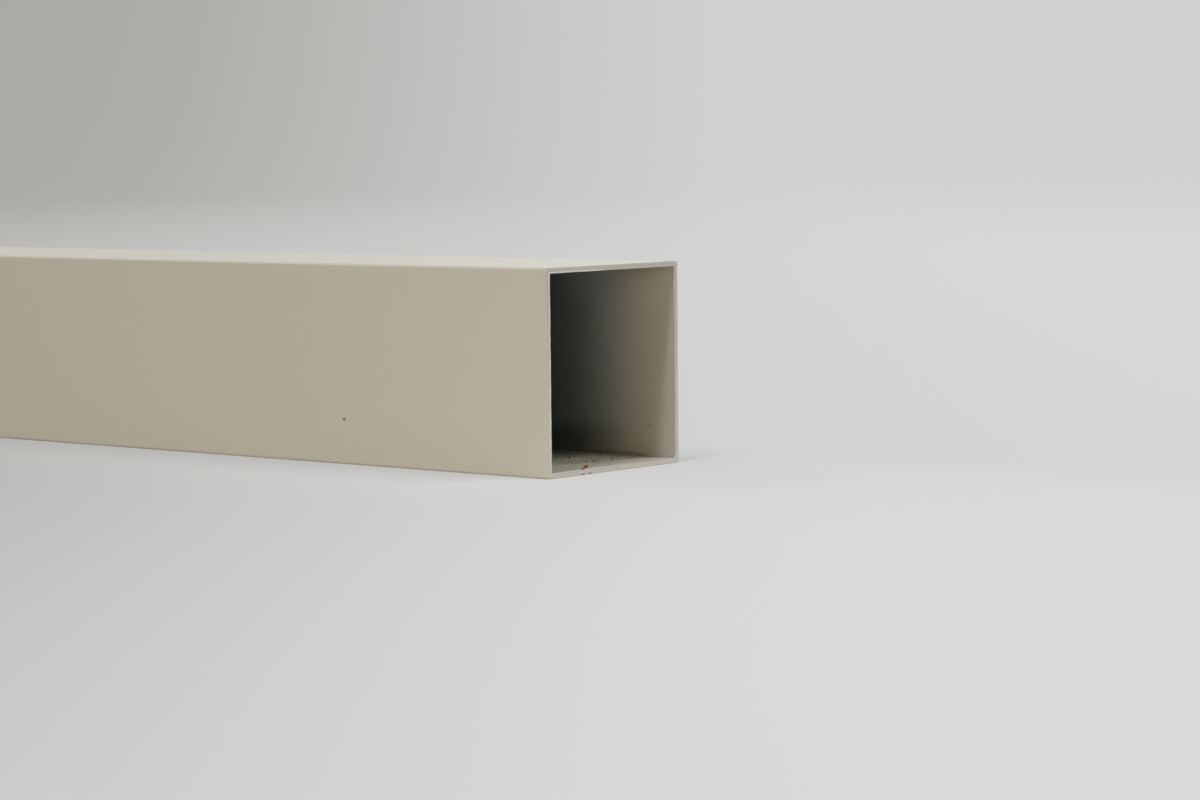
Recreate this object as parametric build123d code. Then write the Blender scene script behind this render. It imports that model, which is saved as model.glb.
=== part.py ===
from build123d import *
import os

# Square downpipe: one length of extruded aluminium hollow section, sawn square at both ends.
# It lies on its underside with its length along X, and the end seen in the photograph is at +X.
# Sizes are in millimetres. The origin is the middle of the underside, so the pipe lies on Z = 0.

# Section of the extrusion
outer_side = 80.0
wall = 2.0
outer_corner_radius = 1.0
inner_corner_radius = 0.5

# Length, and the break on the edges of the sawn ends
pipe_length = 1000.0
end_edge_break = 0.3


def pipe_section():
    """The square outline less its bore, with a radius of its own on the corners of each."""
    bore_side = outer_side - 2 * wall
    outline = RectangleRounded(outer_side, outer_side, outer_corner_radius)
    bore = RectangleRounded(bore_side, bore_side, inner_corner_radius)
    return outline - bore


def square_downpipe():
    """The section extruded both ways from the middle, with the edges of both sawn ends broken."""
    middle = Plane(origin=(0, 0, outer_side / 2), x_dir=(0, 1, 0), z_dir=(1, 0, 0))
    pipe = extrude(middle * pipe_section(), amount=pipe_length / 2, both=True)
    sawn_ends = pipe.faces().filter_by(Axis.X)
    return chamfer(sawn_ends.edges(), length=end_edge_break)


pipe = square_downpipe()
pipe.label = "square_downpipe"

os.makedirs("parts", exist_ok=True)
export_step(pipe, "parts/square_downpipe.step")
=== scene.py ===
import math

import bmesh
import bpy
import numpy as np
from mathutils import Matrix, Vector


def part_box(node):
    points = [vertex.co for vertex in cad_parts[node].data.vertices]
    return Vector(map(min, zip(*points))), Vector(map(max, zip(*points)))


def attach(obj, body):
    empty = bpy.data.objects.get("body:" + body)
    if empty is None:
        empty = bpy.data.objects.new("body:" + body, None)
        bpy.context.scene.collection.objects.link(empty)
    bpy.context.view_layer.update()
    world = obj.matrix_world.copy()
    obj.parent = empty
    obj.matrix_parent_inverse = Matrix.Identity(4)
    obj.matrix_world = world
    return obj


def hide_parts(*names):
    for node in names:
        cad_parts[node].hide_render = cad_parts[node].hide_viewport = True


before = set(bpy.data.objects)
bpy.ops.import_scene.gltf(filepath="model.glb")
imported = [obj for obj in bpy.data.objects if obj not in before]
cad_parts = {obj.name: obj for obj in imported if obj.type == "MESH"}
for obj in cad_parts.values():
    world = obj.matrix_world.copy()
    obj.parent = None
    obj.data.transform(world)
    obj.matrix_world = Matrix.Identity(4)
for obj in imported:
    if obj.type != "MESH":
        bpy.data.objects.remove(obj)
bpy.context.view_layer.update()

# Square downpipe, dressed: powder-coated aluminium, sawn before it was coated, lying on a pale floor.
# Metres. The pipe runs along X and the mouth that the photograph shows is its +X end.

NODE = "square_downpipe"
BODY = "root"
MM = 0.001

node_low, node_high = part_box(NODE)

# The pipe, from the frame and its stock section
LENGTH = node_high.x - node_low.x
SIDE = node_high.y - node_low.y
WALL = 2.0 * MM
OUTER_RADIUS = 1.0 * MM
INNER_RADIUS = 0.5 * MM
MIDDLE_Z = (node_low.z + node_high.z) / 2
MOUTH_X = node_high.x
INNER_HALF = SIDE / 2 - WALL

# The sawn ends
LIP_ROOM = 0.35 * MM         # the sawn face stands back this far, and its burr reaches the stated length
OUTER_EDGE_ROUND = 0.18 * MM
LIP_WIDTH = 0.42 * MM        # the burr along the inner edge
LIP_DRAG = 0.20 * MM         # how far the saw dragged it into the opening
TOP_DRAG = 0.15 * MM         # the same along the top, where the burr is torn off shorter
EDGE_WAVE = 0.10 * MM        # the slow wave of the inner edge
NICK = (-10.0 * MM, 2.2 * MM, 0.35 * MM)     # in the top outer edge: its y, half its length, its depth
CORNER_FILL = 1.4 * MM       # the coat that ran into the mouth's far lower corner
FINE_REACH = 6.0 * MM        # the finely divided zone on each side of a sawn end
COARSE_GAP = 4.0 * MM        # from that zone to the plain length between the ends
COARSE_STEPS = 10            # divisions of the plain length
FLAT_STEPS = 250             # divisions of a side in the fine zone
ARC_STEPS = 8                # divisions of a corner
FLAT_SHARE = 0.9             # what a flat counts for in its quarter of the section; its corner has the rest
SAWN_ENDS = ((-1, 30, False), (1, 20, True))     # direction along X, seed, whether the photograph shows it
COAT, SAWN, BORE = range(3)  # the pipe's materials

# The camera, fitted to the pipe's edges in the photograph
LENS = 100.9
SENSOR = 36.0
CAMERA_FROM_MOUTH = Vector((0.8219, -1.0040, 0.1304))   # from the middle of the mouth's lower edge
CAMERA_AZIMUTH = 39.55
CAMERA_ELEVATION = 4.53
CAMERA_ROLL = -0.56
CAMERA_CLIP = (0.05, 50.0)


# Shapes in numbers

def smooth_step(low, high, x):
    t = np.clip((x - low) / (high - low), 0.0, 1.0)
    return t * t * (3.0 - 2.0 * t)


def between(ends, share):
    low, high = ends
    return low + (high - low) * share


def smoothed(values, width):
    """A closed row of values, each blended with its neighbours."""
    kernel = np.hanning(width + 2)[1:-1]
    reach = len(kernel) // 2
    padded = np.concatenate([values[-reach:], values, values[:reach]])
    return np.convolve(padded, kernel / kernel.sum(), mode="same")[reach:reach + len(values)]


def ragged(count, seed, width):
    """A closed row of random values from 0 to 1, smoothed over width neighbours."""
    values = smoothed(np.random.default_rng(seed).random(count), width)
    return (values - values.min()) / (values.max() - values.min())


def section_loop(half, radius, stations):
    """Points (y, z) round a rounded square, and how far round each is, from 0 to 1.

    stations lists how far along each flat its points lie, from 0 to 1. The walk starts at the lower
    corner of the -Y side and goes along the underside, up the +Y side, along the top and down again.
    """
    points, rounds = [], []
    flat = half - radius
    for k in range(4):
        turn = k * math.pi / 2
        along = Vector((math.cos(turn), math.sin(turn)))
        out = Vector((math.sin(turn), -math.cos(turn)))
        for t in stations:
            p = along * ((2 * t - 1) * flat) + out * half
            points.append((p.x, p.y))
            rounds.append((k + FLAT_SHARE * t) / 4)
        centre = along * flat + out * flat
        for j in range(1, ARC_STEPS):
            a = (math.pi / 2) * j / ARC_STEPS
            p = centre + out * (radius * math.cos(a)) + along * (radius * math.sin(a))
            points.append((p.x, p.y))
            rounds.append((k + FLAT_SHARE + (1 - FLAT_SHARE) * j / ARC_STEPS) / 4)
    return np.array(points), np.array(rounds)


def fine_stations():
    return np.linspace(0.0, 1.0, FLAT_STEPS + 1)


def coarse_stations():
    """A few points a side, with one close to each corner to keep its shading off the flat."""
    near = 0.006
    return np.array([0.0, near, 0.25, 0.5, 0.75, 1 - near, 1.0])


class Mesher:
    """Collects rings of points and the faces between them."""

    def __init__(self):
        self.points, self.faces, self.slots, self.burrs = [], [], [], []

    def ring(self, points, burr=0.0):
        first = len(self.points)
        self.points.extend(map(tuple, points))
        self.burrs.extend(np.broadcast_to(burr, len(points)).tolist())
        return list(range(first, first + len(points)))

    def band(self, a, b, slot):
        """Quads between two rings with as many points."""
        n = len(a)
        for i in range(n):
            j = (i + 1) % n
            self.faces.append((a[i], a[j], b[j], b[i]))
            self.slots.append(slot)

    def stitch(self, a, round_a, b, round_b, slot):
        """Triangles between two rings with different numbers of points, by how far round each is."""
        i = j = 0
        n, m = len(a), len(b)
        while i < n or j < m:
            next_a = round_a[i + 1] if i + 1 < n else 1.0
            next_b = round_b[j + 1] if j + 1 < m else 1.0
            if j >= m or (i < n and next_a <= next_b):
                self.faces.append((a[i], a[(i + 1) % n], b[j % m]))
                i += 1
            else:
                self.faces.append((a[i % n], b[(j + 1) % m], b[j]))
                j += 1
            self.slots.append(slot)

    def mesh(self, name):
        data = bpy.data.meshes.new(name)
        data.from_pydata(self.points, [], self.faces)
        data.polygons.foreach_set("material_index", self.slots)
        bm = bmesh.new()
        bm.from_mesh(data)
        bmesh.ops.recalc_face_normals(bm, faces=bm.faces)
        bm.to_mesh(data)
        bm.free()
        data.polygons.foreach_set("use_smooth", [True] * len(data.polygons))
        data.attributes.new("burr", "FLOAT", "POINT").data.foreach_set("value", self.burrs)
        return data


# Materials

def new_material(name):
    material = bpy.data.materials.new(name)
    material.use_nodes = True
    tree = material.node_tree
    tree.nodes.clear()
    output = tree.nodes.new("ShaderNodeOutputMaterial")
    shader = tree.nodes.new("ShaderNodeBsdfPrincipled")
    tree.links.new(shader.outputs["BSDF"], output.inputs["Surface"])
    return material, tree, shader


def add_object(name, data):
    thing = bpy.data.objects.new(name, data)
    bpy.context.scene.collection.objects.link(thing)
    return thing


def linear(r, g, b):
    """An sRGB colour of 0 to 255 as linear light."""
    def one(c):
        c /= 255
        return c / 12.92 if c <= 0.04045 else ((c + 0.055) / 1.055) ** 2.4
    return one(r), one(g), one(b), 1.0


class Nodes:
    """Short ways to add shader nodes to one tree."""

    def __init__(self, tree):
        self.tree = tree
        self.place = self.add("ShaderNodeTexCoord").outputs["Object"]

    def add(self, kind, **values):
        node = self.tree.nodes.new(kind)
        for key, value in values.items():
            setattr(node, key, value)
        return node

    def link(self, source, socket):
        self.tree.links.new(source, socket)

    def put(self, socket, value):
        if hasattr(value, "is_output"):
            self.link(value, socket)
        else:
            socket.default_value = value

    def math(self, operation, a, b=0.0, clamp=False):
        node = self.add("ShaderNodeMath", operation=operation, use_clamp=clamp)
        self.put(node.inputs[0], a)
        self.put(node.inputs[1], b)
        return node.outputs[0]

    def axis(self, name):
        node = self.add("ShaderNodeSeparateXYZ")
        self.link(self.place, node.inputs[0])
        return node.outputs[name]

    def scaled(self, scale, offset=(0.0, 0.0, 0.0)):
        node = self.add("ShaderNodeMapping")
        self.link(self.place, node.inputs["Vector"])
        node.inputs["Scale"].default_value = scale
        node.inputs["Location"].default_value = offset
        return node.outputs["Vector"]

    def noise(self, scale, detail=2.0, roughness=0.5, vector=None):
        node = self.add("ShaderNodeTexNoise")
        self.link(self.place if vector is None else vector, node.inputs["Vector"])
        node.inputs["Scale"].default_value = scale
        node.inputs["Detail"].default_value = detail
        node.inputs["Roughness"].default_value = roughness
        return node.outputs["Fac"]

    def ramp(self, value, low, high, out_low=0.0, out_high=1.0, smooth=True):
        node = self.add("ShaderNodeMapRange")
        node.interpolation_type = "SMOOTHSTEP" if smooth else "LINEAR"
        self.put(node.inputs["Value"], value)
        node.inputs["From Min"].default_value = low
        node.inputs["From Max"].default_value = high
        node.inputs["To Min"].default_value = out_low
        node.inputs["To Max"].default_value = out_high
        return node.outputs["Result"]

    def spot(self, centre, radii, soft, ripple=0.0):
        """1 inside an ellipsoid round centre and 0 from soft beyond it, with a rippled edge."""
        length = self.add("ShaderNodeVectorMath", operation="LENGTH")
        scale = [1 / r for r in radii]
        offset = [-c / r for c, r in zip(centre, radii)]
        self.link(self.scaled(scale, offset), length.inputs[0])
        far = length.outputs["Value"]
        if ripple:
            uneven = self.noise(1 / min(radii), 1.0)
            far = self.math("ADD", far, self.ramp(uneven, *WIDE_SPAN, -ripple, ripple, smooth=False))
        return self.ramp(far, 1.0, 1.0 + soft, 1.0, 0.0)

    def mix(self, factor, a, b):
        node = self.add("ShaderNodeMix", data_type="RGBA")
        for socket, value in ((0, factor), (6, a), (7, b)):
            self.put(node.inputs[socket], value)
        return node.outputs[2]

    def bump(self, height, distance, normal=None):
        node = self.add("ShaderNodeBump")
        node.inputs["Distance"].default_value = distance
        self.link(height, node.inputs["Height"])
        if normal is not None:
            self.link(normal, node.inputs["Normal"])
        return node.outputs["Normal"]


COAT_LIGHT = linear(188, 182, 163.5)
COAT_DARK = linear(187.5, 181.5, 163)
SAWN_COAT_PAINTED_LIT = linear(221, 216, 204)      # painted light: lighter near the floor
SAWN_COAT_PAINTED_SHADED = linear(199, 193, 180)     # painted shade: darker at the top
BURR = linear(222, 219, 210)
BARE = linear(197, 207, 204)
BARE_DARK = linear(189, 199, 196)
BORE_CORNER_SHADE = Vector((460, 40, 3)) * MM            # painted shade: darker metal colour along the bore's far lower edge
BORE_CORNER_SHADE_RADII = Vector((25, 14, 7)) * MM
BORE_CORNER_SHADE_COLOUR = linear(104, 102, 92)
BORE_CORNER_SHADE_SHARE = 0.55           # how much of it shows
COAT_ENDS = 10 * MM          # how far into the mouth the coat is whole
SPRAY_ENDS = 76 * MM         # how far in its overspray reaches
CLOUD_SHIFT = 5 * MM         # how far clouds and grain move those two
GRAIN_SHIFT = 9 * MM
SAWN_SHIFT = 0.12            # how far patches move the sawn face's two colours, in heights of the pipe
BURR_SHOWS = (0.1, 0.75)     # from nothing to all of the burr's colour

# Roughness. Under 0.274 the denoiser takes the coat for a mirror and leaves pale marks on it.
COAT_ROUGHNESS = (0.278, 0.292)
SAWN_ROUGHNESS = (0.36, 0.46)
BORE_ROUGHNESS = (0.46, 0.56)
SPECK_ROUGHNESS = 0.6

# Noise scales, per metre
COAT_GRAIN = 1400.0
GLOSS_CLOUDS = 60.0
SAWN_PATCHES = 900.0
SAW_SCALE = (300.0, 380.0, 2400.0)
DRAWN_SCALE = (5.0, 1100.0, 1100.0)
BORE_CLOUDS = 45.0
BORE_GRAIN = 1500.0
FILM_GRAIN = 1300.0
DIRT_GRAIN = 1700.0
NOISE_SPAN = (0.3, 0.7)      # most of a noise lies between these
WIDE_SPAN = (0.25, 0.75)
NARROW_SPAN = (0.35, 0.65)

# Ripples, each a noise scale and a height
BROAD_PEEL = (420.0, 0.004 * MM)
FINE_PEEL = (2600.0, 0.001 * MM)
DIRT_RIPPLE = (6000.0, 0.010 * MM)
SAW_LINES = 0.012 * MM       # heights of the lines that the saw and the drawing left
DRAWN_LINES = 0.003 * MM

# Marks
SPECK = Vector((393.3, -40.0, 18.0)) * MM        # a dark speck on the side
SPECK_RADII = Vector((0.55, 0.55, 0.45)) * MM
SPECK_COLOUR = linear(104, 96, 82)
SMUDGE = Vector((486.6, 38.0, 14.3)) * MM        # a faint brown smudge on the bore's far side
SMUDGE_RADII = Vector((0.9, 1.0, 0.5)) * MM
SMUDGE_COLOUR = linear(112, 94, 62)
SMUDGE_SHARE = 0.26
DUST_FILM = Vector((471, 26, 2)) * MM            # the middle of the dusty patch on the bore's floor
DUST_FILM_RADII = Vector((15, 34, 1.5)) * MM
DUST_FILM_COLOUR = linear(134, 122, 95)
FILM_SPAN = (0.40, 0.60)
FILM_SHOWS = (0.2, 0.8)                          # how much of the film shows, from thin to thick grains
PALE_FILM = Vector((478, 18, 2)) * MM            # where it lies palest
PALE_FILM_RADII = Vector((9, 9, 1.5)) * MM
PALE_FILM_COLOUR = linear(164, 153, 127)


def peel(n):
    """The slight ripple of a powder coat: broad orange peel under a finer grain."""
    broad_scale, broad_height = BROAD_PEEL
    fine_scale, fine_height = FINE_PEEL
    broad = n.bump(n.noise(broad_scale), broad_height)
    return n.bump(n.noise(fine_scale), fine_height, normal=broad)


def coat_colour(n):
    return n.mix(n.ramp(n.noise(COAT_GRAIN, roughness=0.6), *NOISE_SPAN), COAT_DARK, COAT_LIGHT)


def with_burr(n, colour):
    """The colour, brighter along the burr."""
    burr = n.add("ShaderNodeAttribute", attribute_name="burr").outputs["Fac"]
    return n.mix(n.ramp(burr, *BURR_SHOWS), colour, BURR)


def coat_material():
    material, tree, shader = new_material("powder_coat")
    n = Nodes(tree)
    speck = n.spot(SPECK, SPECK_RADII, soft=0.9, ripple=0.3)
    n.link(n.mix(speck, coat_colour(n), SPECK_COLOUR), shader.inputs["Base Color"])
    even = n.ramp(n.noise(GLOSS_CLOUDS, 3.0, 0.6), *NOISE_SPAN, *COAT_ROUGHNESS)
    rough = n.math("MAXIMUM", even, n.math("MULTIPLY", speck, SPECK_ROUGHNESS))
    n.link(rough, shader.inputs["Roughness"])
    n.link(peel(n), shader.inputs["Normal"])
    return material


def sawn_material():
    """The sawn face: a thinner coat over the saw's fine lines, with painted shade that makes it darker
    towards the top and painted light that makes it lighter near the floor.
    """
    material, tree, shader = new_material("sawn_end_coat")
    n = Nodes(tree)
    patchy = n.ramp(n.noise(SAWN_PATCHES, 3.0, 0.6), *NOISE_SPAN)
    # Painted light and shade: the sawn face's colour runs from lighter near the floor to darker at the top.
    height = n.ramp(n.axis("Z"), 0.0, SIDE, smooth=False)
    up = n.math("ADD", height, n.ramp(patchy, 0.0, 1.0, -SAWN_SHIFT, SAWN_SHIFT), clamp=True)
    thin_coat_and_painted_light = n.mix(up, SAWN_COAT_PAINTED_LIT, SAWN_COAT_PAINTED_SHADED)
    n.link(with_burr(n, thin_coat_and_painted_light), shader.inputs["Base Color"])
    n.link(n.ramp(patchy, 0.0, 1.0, *SAWN_ROUGHNESS), shader.inputs["Roughness"])
    lines = n.noise(1.0, roughness=0.6, vector=n.scaled(SAW_SCALE))
    n.link(n.bump(lines, SAW_LINES, normal=peel(n)), shader.inputs["Normal"])
    return material


def bore_material():
    """The coat reaches a little way in, thins out as overspray, and leaves drawn aluminium."""
    material, tree, shader = new_material("bore_mill_finish")
    n = Nodes(tree)
    depth = n.math("SUBTRACT", LENGTH / 2, n.math("ABSOLUTE", n.axis("X")))
    cloud = n.ramp(n.noise(BORE_CLOUDS, 3.0, 0.6), *WIDE_SPAN, -CLOUD_SHIFT, CLOUD_SHIFT, smooth=False)
    grain = n.ramp(n.noise(BORE_GRAIN), *NOISE_SPAN, -GRAIN_SHIFT, GRAIN_SHIFT, smooth=False)
    speckled = n.math("ADD", n.math("ADD", depth, cloud), grain)
    bare = n.ramp(speckled, COAT_ENDS, SPRAY_ENDS)
    drawn = n.noise(1.0, 3.0, 0.6, n.scaled(DRAWN_SCALE))
    metal = n.mix(n.ramp(drawn, *NOISE_SPAN), BARE_DARK, BARE)
    # Painted shade darkens the bore's far lower corner.
    corner_shade = n.math("MULTIPLY", n.spot(BORE_CORNER_SHADE, BORE_CORNER_SHADE_RADII, soft=1.2, ripple=0.1), BORE_CORNER_SHADE_SHARE)
    colour = n.mix(bare, coat_colour(n), n.mix(corner_shade, metal, BORE_CORNER_SHADE_COLOUR))
    smudge = n.math("MULTIPLY", n.spot(SMUDGE, SMUDGE_RADII, soft=1.3, ripple=0.4), SMUDGE_SHARE)
    colour = n.mix(smudge, colour, SMUDGE_COLOUR)
    grains = n.ramp(n.noise(FILM_GRAIN, roughness=0.7), *FILM_SPAN, *FILM_SHOWS)
    film = n.math("MULTIPLY", n.spot(DUST_FILM, DUST_FILM_RADII, soft=0.2, ripple=0.1), grains)
    pale = n.spot(PALE_FILM, PALE_FILM_RADII, soft=1.0, ripple=0.1)
    colour = n.mix(film, colour, n.mix(pale, DUST_FILM_COLOUR, PALE_FILM_COLOUR))
    n.link(with_burr(n, colour), shader.inputs["Base Color"])
    n.link(n.math("MULTIPLY", bare, n.math("SUBTRACT", 1.0, film)), shader.inputs["Metallic"])
    n.link(n.ramp(drawn, *NOISE_SPAN, *BORE_ROUGHNESS), shader.inputs["Roughness"])
    n.link(n.bump(drawn, DRAWN_LINES), shader.inputs["Normal"])
    return material


# How strong the burr is, from 0 to 1. Along the underside and the top it falls from the second value
# to the first between two places across the pipe.
UNDER_BURR = (0.12, 0.62, -5 * MM, 25 * MM)
TOP_BURR = (0.15, 1.0, -12 * MM, -2 * MM)
FAR_SIDE_BURR = 0.18
NEAR_SIDE_BURR = 1.0
UNSEEN_BURR = (0.25, 0.85)
UNSEEN_SEED = 41
ON_SIDE = INNER_HALF - 0.3 * MM       # past this, a point of the inner edge lies along a side

# How many neighbours a row of values is smoothed over
JAGGED = 3
UNEVEN = 11
SLOW = 61
BLEND = 9
WIDE_BLEND = 15

# How far the ragged rows change the burr and the edges, from the least to the most
LIFT_SPAN = (0.30, 1.0)
WIDTH_BY_STRENGTH = (0.55, 1.15)
WIDTH_SPAN = (0.8, 1.2)
DRAG_SPAN = (0.25, 1.0)
ROUND_SPAN = (0.85, 1.15)
CHIP_SPAN = (0.5, 1.0)
LIFT_SPARE = 0.02 * MM       # how far the burr stays under the stated length
TOP_WAVE_LOSS = 0.7          # what the slow wave loses along the top
CHIP_MIDDLE = 0.3            # the share of the nick that has its full depth

# The rows of a sawn end. Outside and inside: how far each lies from the face.
OUTSIDE_ROWS = (FINE_REACH, 3.0 * MM, 1.4 * MM, 0.9 * MM)
INSIDE_ROWS = (1.5 * MM, 2.5 * MM, 4.0 * MM, FINE_REACH)
FILL_FADES = 0.8 * MM        # from here inwards the coat in the corner grows thinner
ROUND_STEPS = 4
FACE_ROWS = (0.36, 0.5, 0.64)                # shares of the wall
# The burr. Up: share of its width left, of its height, of its strength. Over: share of its height,
# of its drag, of its strength. Down: millimetres from the face, share of its drag, of its strength.
BURR_UP = ((1.0, 0.0, 0.0), (0.75, 0.35, 0.6), (0.5, 0.85, 1.0), (0.25, 1.0, 1.0))
BURR_OVER = ((0.55, 0.7, 1.0), (0.0, 1.0, 0.9))
BURR_DOWN = ((0.15, 0.85, 0.6), (0.4, 0.45, 0.2), (0.8, 0.15, 0.0))


def burr_strength(loop, shown):
    """How strong the burr is round the inner edge, from 0 to 1."""
    y, z = loop[:, 0], loop[:, 1]
    if not shown:
        return smoothed(between(UNSEEN_BURR, ragged(len(loop), UNSEEN_SEED, SLOW)), WIDE_BLEND)
    strength = np.full(len(loop), FAR_SIDE_BURR)
    for side, (weak, strong, start, end) in ((z < -ON_SIDE, UNDER_BURR), (z > ON_SIDE, TOP_BURR)):
        strength[side] = between((weak, strong), 1 - smooth_step(start, end, y[side]))
    strength[y < -ON_SIDE] = NEAR_SIDE_BURR
    return smoothed(strength, BLEND)


def corner_fill(loop):
    """How far the coat stands off the bore near its lower +Y corner."""
    corner = np.array([INNER_HALF, -INNER_HALF])
    along = np.maximum(np.abs(loop[:, 0] - corner[0]), np.abs(loop[:, 1] - corner[1]))
    left = np.clip(CORNER_FILL - along, 0, CORNER_FILL)
    return CORNER_FILL - np.sqrt(CORNER_FILL ** 2 - left ** 2)


def end_rows(outer, inner, seed, shown):
    """The rows of a sawn end from the outside to the bore: points, x from the face, slot and burr."""
    count = len(outer)
    strength = burr_strength(inner, shown)
    jagged = ragged(count, seed, JAGGED)
    uneven = ragged(count, seed + 1, UNEVEN)
    wave = EDGE_WAVE * (ragged(count, seed + 2, SLOW) - 0.5)
    top_share = smoothed((inner[:, 1] > ON_SIDE).astype(float), BLEND)
    tooth = between((uneven, jagged), top_share)
    lift = (LIP_ROOM - LIFT_SPARE) * strength * between(LIFT_SPAN, tooth)
    width = LIP_WIDTH * between(WIDTH_BY_STRENGTH, strength) * between(WIDTH_SPAN, uneven)
    pull = between((LIP_DRAG, TOP_DRAG), top_share)
    drag = pull * strength * between(DRAG_SPAN, tooth) + wave * (1 - TOP_WAVE_LOSS * top_share)
    fill = corner_fill(inner) if shown else np.zeros(count)
    to_axis = -inner / np.abs(inner).max(axis=1, keepdims=True)
    across = inner - outer

    chip = np.zeros(count)
    if shown:
        place, half_length, depth = NICK
        on_top = outer[:, 1] > SIDE / 2 - OUTER_RADIUS
        away = np.abs(outer[:, 0] - place)
        chip = depth * on_top * (1 - smooth_step(CHIP_MIDDLE * half_length, half_length, away))
        chip *= between(CHIP_SPAN, jagged)
    round_off = OUTER_EDGE_ROUND * between(ROUND_SPAN, uneven) + chip

    none = np.zeros(count)
    rows = []
    for inward in OUTSIDE_ROWS:
        rows.append((outer, none - inward, COAT, none))
    for step in range(ROUND_STEPS + 1):
        a = (math.pi / 2) * step / ROUND_STEPS
        share = round_off * (1 - math.cos(a)) / WALL
        rows.append((outer + across * share[:, None], -round_off * (1 - math.sin(a)), COAT, none))
    for share in FACE_ROWS:
        rows.append((outer + across * share, none, SAWN, none))
    for left, up, burr in BURR_UP:
        share = 1 - left * width / WALL
        rows.append((outer + across * share[:, None], lift * up, SAWN, strength * burr))
    for up, part, burr in BURR_OVER:
        points = inner + to_axis * (drag * part + fill)[:, None]
        rows.append((points, lift * up, SAWN, strength * burr))
    for inward, part, burr in BURR_DOWN:
        points = inner + to_axis * (drag * part + fill)[:, None]
        rows.append((points, none - inward * MM, BORE, strength * burr))
    for inward in INSIDE_ROWS:
        fading = 1 - smooth_step(FILL_FADES, FINE_REACH, inward)
        rows.append((inner + to_axis * (fill * fading)[:, None], none - inward, BORE, none))
    return rows


def pipe_mesh():
    build = Mesher()
    half = SIDE / 2
    fine_out, fine_round = section_loop(half, OUTER_RADIUS, fine_stations())
    fine_in, _ = section_loop(half - WALL, INNER_RADIUS, fine_stations())
    coarse_out, coarse_round = section_loop(half, OUTER_RADIUS, coarse_stations())
    coarse_in, _ = section_loop(half - WALL, INNER_RADIUS, coarse_stations())

    def placed(points, x):
        x = np.broadcast_to(x, len(points))
        return np.column_stack([x, points[:, 0], points[:, 1] + MIDDLE_Z])

    ends = {}
    for sign, seed, shown in SAWN_ENDS:
        rows = end_rows(fine_out, fine_in, seed, shown)
        face_x = LENGTH / 2 - LIP_ROOM
        made = [build.ring(placed(points, sign * (face_x + x)), burr) for points, x, _, burr in rows]
        for a, b, (_, _, slot, _) in zip(made, made[1:], rows[1:]):
            build.band(a, b, slot)
        ends[sign] = made[0], made[-1]

    xs = np.linspace(-1, 1, COARSE_STEPS + 1) * (LENGTH / 2 - LIP_ROOM - FINE_REACH - COARSE_GAP)
    for points, which, slot in ((coarse_out, 0, COAT), (coarse_in, 1, BORE)):
        made = [build.ring(placed(points, x)) for x in xs]
        for a, b in zip(made, made[1:]):
            build.band(a, b, slot)
        build.stitch(ends[-1][which], fine_round, made[0], coarse_round, slot)
        build.stitch(ends[1][which], fine_round, made[-1], coarse_round, slot)
    return build.mesh("downpipe")


def add_pipe():
    pipe = add_object("downpipe", pipe_mesh())
    for material in (coat_material(), sawn_material(), bore_material()):
        pipe.data.materials.append(material)
    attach(pipe, BODY)
    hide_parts(NODE)


# Dust, crumbs and the red fleck

FLOOR_Z = WALL               # the bore's floor
DUST_COUNT = 260
DUST_SEED = 7
DUST_MIDDLE = Vector((477.0, 12.0)) * MM
DUST_SPREAD = Vector((6.0, 11.0)) * MM
DUST_SIZES = (0.12 * MM, 0.42 * MM)
DUST_STRETCH = (0.7, 1.4)
DUST_HEIGHT = (0.4, 0.7)     # against its size
DUST_RAISED = 0.5            # the middle's height over the floor, in half heights, so a grain sits in it
DUST_BROWN_SHARE = 0.65
DUST_FROM_MOUTH = 2 * MM
DUST_FROM_SIDES = 1 * MM
LUMP_SPAN = (0.78, 1.0)      # how uneven a lump is
# Each lump: middle, half sizes and turn about Z in degrees
RED_FLECK = ((497.6, -15.7, 2.75), (0.55, 0.80, 0.62), 20)
DARK_FLECK = ((496.7, -13.5, 2.7), (0.45, 0.65, 0.48), -12)
RED_CRUMB = ((499.2, -18.3, 2.45), (0.42, 0.60, 0.48), 35)
BROWN_CRUMB = ((499.45, -19.5, 2.35), (0.42, 0.75, 0.45), 10)
DARK_GRAINS = (
    ((465.2, 13.8, 2.2), (0.60, 0.60, 0.30), 0),
    ((481.8, 4.2, 2.2), (0.50, 0.55, 0.30), 30),
    ((483.3, 7.4, 2.2), (0.45, 0.45, 0.28), 0),
    ((473.5, 3.0, 2.2), (0.35, 0.40, 0.25), 0),
)
LIGHT_GRAINS = (
    ((482.6, -2.6, 2.2), (0.45, 0.45, 0.28), 0),
    ((487.6, 4.6, 2.2), (0.40, 0.50, 0.28), 0),
    ((472.6, 8.4, 2.2), (0.45, 0.45, 0.28), 0),
)
EDGE_CRUMBS = (
    ((499.70, -19.4, 0.30), (0.29, 1.20, 0.29), 0),
    ((499.70, -15.3, 0.36), (0.29, 0.80, 0.35), 0),
)


def add_lump(bm, middle, radii, turn, rng, slot):
    """A small uneven lump, sizes in metres and turn in radians."""
    made = bmesh.ops.create_icosphere(bm, subdivisions=2, radius=1.0)["verts"]
    grown = rng.uniform(*LUMP_SPAN, len(made))
    spin = Matrix.Rotation(turn, 3, "Z")
    for vert, size in zip(made, grown):
        p = Vector([c * r * size for c, r in zip(vert.co, radii)])
        vert.co = Vector(middle) + spin @ p
    for face in {face for vert in made for face in vert.link_faces}:
        face.material_index = slot
        face.smooth = True


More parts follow.
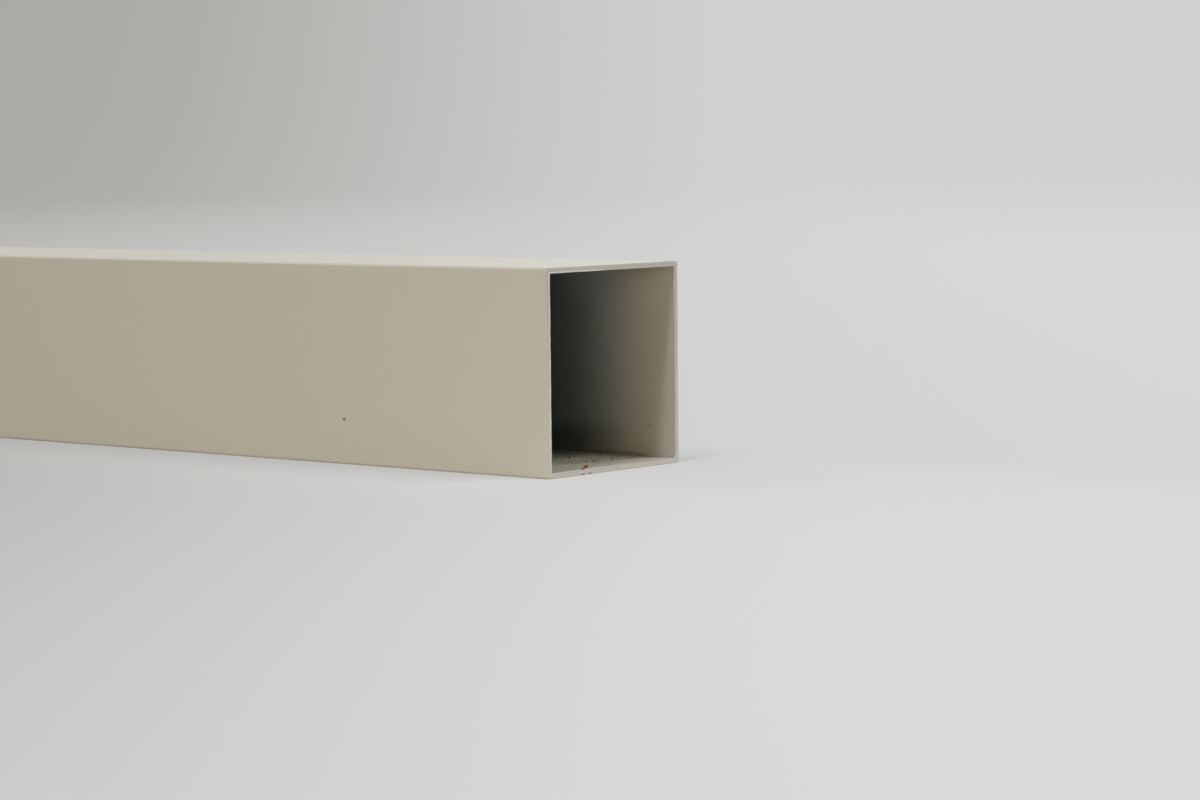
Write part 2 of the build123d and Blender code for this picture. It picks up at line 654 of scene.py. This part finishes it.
def grain_material(name, dark, light, roughness):
    material, tree, shader = new_material(name)
    n = Nodes(tree)
    n.link(n.mix(n.ramp(n.noise(DIRT_GRAIN), *NARROW_SPAN), dark, light), shader.inputs["Base Color"])
    shader.inputs["Roughness"].default_value = roughness
    scale, height = DIRT_RIPPLE
    n.link(n.bump(n.noise(scale), height), shader.inputs["Normal"])
    return material


def add_dirt(name, lumps, materials, seed):
    """One piece made of lumps, each with the number of its material."""
    rng = np.random.default_rng(seed)
    bm = bmesh.new()
    for middle, radii, turn, slot in lumps:
        add_lump(bm, middle, radii, turn, rng, slot)
    data = bpy.data.meshes.new(name)
    bm.to_mesh(data)
    bm.free()
    for material in materials:
        data.materials.append(material)
    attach(add_object(name, data), BODY)


def in_metres(lump, slot=0):
    """A lump of the lists above in metres and radians, with the number of its material."""
    middle, radii, turn = lump
    return Vector(middle) * MM, Vector(radii) * MM, math.radians(turn), slot


def dust_lumps():
    """Grains scattered over the bore's floor just inside the mouth."""
    rng = np.random.default_rng(DUST_SEED)
    side_reach = INNER_HALF - DUST_FROM_SIDES
    lumps = []
    for _ in range(DUST_COUNT):
        x = rng.normal(DUST_MIDDLE.x, DUST_SPREAD.x)
        y = rng.normal(DUST_MIDDLE.y, DUST_SPREAD.y)
        size = DUST_SIZES[0] + (DUST_SIZES[1] - DUST_SIZES[0]) * rng.random() ** 2
        stretch = rng.uniform(*DUST_STRETCH)
        radii = (size * stretch, size / stretch, size * rng.uniform(*DUST_HEIGHT))
        x = min(x, MOUTH_X - DUST_FROM_MOUTH)
        y = max(min(y, side_reach), -side_reach)
        slot = 0 if rng.random() < DUST_BROWN_SHARE else 1
        middle = (x, y, FLOOR_Z + DUST_RAISED * radii[2])
        lumps.append((middle, radii, rng.uniform(0, math.pi), slot))
    return lumps


def add_all_dirt():
    brown = grain_material("dust_brown", linear(98, 87, 64), linear(134, 121, 94), roughness=0.8)
    pale = grain_material("dust_pale", linear(150, 145, 130), linear(182, 178, 166), roughness=0.7)
    umber = grain_material("dust_umber", linear(70, 61, 44), linear(98, 86, 64), roughness=0.8)
    red = grain_material("fleck_red", linear(168, 14, 18), linear(205, 34, 32), roughness=0.45)
    dark = grain_material("fleck_dark", linear(46, 34, 24), linear(74, 56, 42), roughness=0.6)
    crumb = grain_material("crumb", linear(112, 99, 74), linear(146, 132, 106), roughness=0.7)
    grains = dust_lumps()
    grains += [in_metres(lump, 2) for lump in DARK_GRAINS]
    grains += [in_metres(lump, 1) for lump in LIGHT_GRAINS]
    add_dirt("dust", grains, (brown, pale, umber), seed=11)
    flecks = [in_metres(RED_FLECK, 0), in_metres(DARK_FLECK, 1)]
    flecks += [in_metres(RED_CRUMB, 0), in_metres(BROWN_CRUMB, 2)]
    add_dirt("fleck", flecks, (red, dark, brown), seed=12)
    add_dirt("edge_crumbs", [in_metres(lump) for lump in EDGE_CRUMBS], (crumb,), seed=13)


# The stage

FLOOR_RADIUS = 5.5
FLOOR_RINGS = (0.5, 1.0, 2.0, 3.5, FLOOR_RADIUS)
SWEEP_RADIUS = 2.5
SWEEP_STEPS = 16
WALL_TOP = 7.0
AROUND = 96                  # divisions of the floor's rim
FLOOR_CENTRE = Vector((0.75, -0.45, 0))      # the middle of the well lit floor

# Each colour pair is left and right in the picture, and its reach says where across the picture it turns.
# The darker left colours are painted shade.
PAPER = ((0.385, 0.37, 0.338, 1), (0.82, 0.79, 0.74, 1))
PAPER_REACH = (0.0, 0.48)
BACKDROP = ((0.435, 0.43, 0.41, 1), (0.680, 0.684, 0.680, 1))
BACKDROP_REACH = (-1.0, 0.9)
# Two distances from the floor's centre, and the share or the strength of the backdrop at each. The
# backdrop's glow is painted light that lightens the pipe's shadow on the paper, and its lower strength far
# off is painted shade.
FAR_REACH = (0.3, 1.6, 0.45, 1.0)
HIGH_REACH = (1.5, 8.0, 1.0, 0.93)
BEHIND_REACH = (-0.02, 0.12)                 # along Y, where the glowing backdrop takes over behind the pipe, painted even light over the pipe's shadow there
WORLD_STRENGTH = 0.01


def stage_material():
    """Plain paper with painted shade, darker towards the left. Far off and behind the pipe, the eye sees a
    glowing backdrop instead: painted light that shows the paper evenly lit.
    """
    material = bpy.data.materials.new("stage_paper")
    material.use_nodes = True
    tree = material.node_tree
    tree.nodes.clear()
    n = Nodes(tree)
    radius = n.add("ShaderNodeVectorMath", operation="DISTANCE")
    n.link(n.place, radius.inputs[0])
    radius.inputs[1].default_value = FLOOR_CENTRE
    across = n.add("ShaderNodeVectorMath", operation="DOT_PRODUCT")
    n.link(n.place, across.inputs[0])
    a = math.radians(CAMERA_AZIMUTH)
    across.inputs[1].default_value = (math.cos(a), math.sin(a), 0)
    rightness = across.outputs["Value"]
    paper = n.add("ShaderNodeBsdfDiffuse")
    # Painted shade: the paper's colour is darker towards the left.
    n.link(n.mix(n.ramp(rightness, *PAPER_REACH), *PAPER), paper.inputs["Color"])
    backdrop = n.add("ShaderNodeEmission")
    n.link(n.mix(n.ramp(rightness, *BACKDROP_REACH), *BACKDROP), backdrop.inputs["Color"])
    n.link(n.ramp(radius.outputs["Value"], *HIGH_REACH), backdrop.inputs["Strength"])
    path = n.add("ShaderNodeLightPath")
    seen = n.math("MAXIMUM", path.outputs["Is Camera Ray"], path.outputs["Is Glossy Ray"])
    seen = n.math("MAXIMUM", seen, path.outputs["Is Transmission Ray"])
    # Behind the pipe the glow covers the pipe's shadow with painted even light.
    behind = n.ramp(n.axis("Y"), *BEHIND_REACH)
    far = n.math("MAXIMUM", n.ramp(radius.outputs["Value"], *FAR_REACH), behind)
    both = n.add("ShaderNodeMixShader")
    n.link(n.math("MULTIPLY", seen, far), both.inputs[0])
    n.link(paper.outputs[0], both.inputs[1])
    n.link(backdrop.outputs[0], both.inputs[2])
    output = n.add("ShaderNodeOutputMaterial")
    n.link(both.outputs[0], output.inputs["Surface"])
    return material


def add_stage():
    """A round floor that sweeps up into a wall all round."""
    profile = [(r, 0.0) for r in FLOOR_RINGS]
    for step in range(1, SWEEP_STEPS + 1):
        a = (math.pi / 2) * step / SWEEP_STEPS
        profile.append((FLOOR_RADIUS + SWEEP_RADIUS * math.sin(a), SWEEP_RADIUS * (1 - math.cos(a))))
    profile.append((FLOOR_RADIUS + SWEEP_RADIUS, WALL_TOP))
    turns = [2 * math.pi * k / AROUND for k in range(AROUND)]
    bm = bmesh.new()
    centre = bm.verts.new((0, 0, 0))
    rings = [[bm.verts.new((r * math.cos(t), r * math.sin(t), z)) for t in turns] for r, z in profile]
    for k in range(AROUND):
        bm.faces.new((centre, rings[0][k], rings[0][(k + 1) % AROUND]))
    for a, b in zip(rings, rings[1:]):
        for k in range(AROUND):
            j = (k + 1) % AROUND
            bm.faces.new((a[k], b[k], b[j], a[j]))
    data = bpy.data.meshes.new("stage")
    bm.to_mesh(data)
    bm.free()
    data.polygons.foreach_set("use_smooth", [True] * len(data.polygons))
    data.materials.append(stage_material())
    add_object("stage", data)


def add_softbox(name, place, aim, size, power, colour=(1, 1, 1)):
    data = bpy.data.lights.new(name, "AREA")
    data.shape = "RECTANGLE"
    data.size, data.size_y = size
    data.energy = power
    data.color = colour
    lamp = add_object(name, data)
    lamp.location = place
    lamp.rotation_mode = "QUATERNION"
    lamp.rotation_quaternion = (Vector(place) - Vector(aim)).to_track_quat("Z", "Y")
    lamp.visible_camera = False


def add_lights():
    """Softboxes, each with where it stands, what it faces, its size, its power and its colour."""
    mouth = Vector((MOUTH_X, 0, MIDDLE_Z))
    middle = Vector((-0.1, 0, MIDDLE_Z))
    add_softbox("key", (0.70, -1.1, 1.83), (0.70, 0, MIDDLE_Z), (0.13, 1.5), 11.6, (0.98, 1.0, 1.42))
    add_softbox("front_high", (0.3, -2.0, 1.3), (0, 0, MIDDLE_Z), (0.9, 0.6), 9.0, (1.0, 0.86, 0.64))
    add_softbox("front", (1.2, -2.4, 0.3), mouth, (1.4, 0.5), 15.0, (1.0, 0.93, 0.81))
    add_softbox("front_left", (-0.4, -2.5, 0.9), middle, (1.4, 0.5), 10.4, (1.0, 1.1, 1.12))
    add_softbox("right", (1.37, 0.45, 1.8), mouth, (1.1, 0.4), 22.4, (0.94, 1.0, 0.98))
    add_softbox("back", (-2.2, 3.4, 0.9), (0.2, 0, 0.04), (3.0, 1.6), 7.3, (1.0, 1.0, 0.91))
    add_softbox("corner", (-0.80, -0.30, 1.2), (0.3, 0, MIDDLE_Z), (1.1, 0.35), 3.6)
    world = bpy.data.worlds.new("studio")
    bpy.context.scene.world = world
    world.use_nodes = True
    background = world.node_tree.nodes["Background"]
    background.inputs["Color"].default_value = (1, 1, 1, 1)
    background.inputs["Strength"].default_value = WORLD_STRENGTH


def add_camera():
    a, e, r = (math.radians(x) for x in (CAMERA_AZIMUTH, CAMERA_ELEVATION, CAMERA_ROLL))
    back = Vector((math.sin(a) * math.cos(e), -math.cos(a) * math.cos(e), math.sin(e)))
    right = Vector((math.cos(a), math.sin(a), 0.0))
    up = back.cross(right)
    turned_right = right * math.cos(r) + up * math.sin(r)
    turned_up = up * math.cos(r) - right * math.sin(r)
    data = bpy.data.cameras.new("camera")
    data.lens = LENS
    data.sensor_width = SENSOR
    data.clip_start, data.clip_end = CAMERA_CLIP
    camera = add_object("camera", data)
    place = Vector((MOUTH_X - LIP_ROOM, 0.0, node_low.z)) + CAMERA_FROM_MOUTH
    axes = Matrix((turned_right, turned_up, back)).transposed()
    camera.matrix_world = Matrix.Translation(place) @ axes.to_4x4()
    bpy.context.scene.camera = camera


add_pipe()
add_all_dirt()
add_stage()
add_lights()
add_camera()
bpy.context.scene.view_settings.view_transform = "Standard"
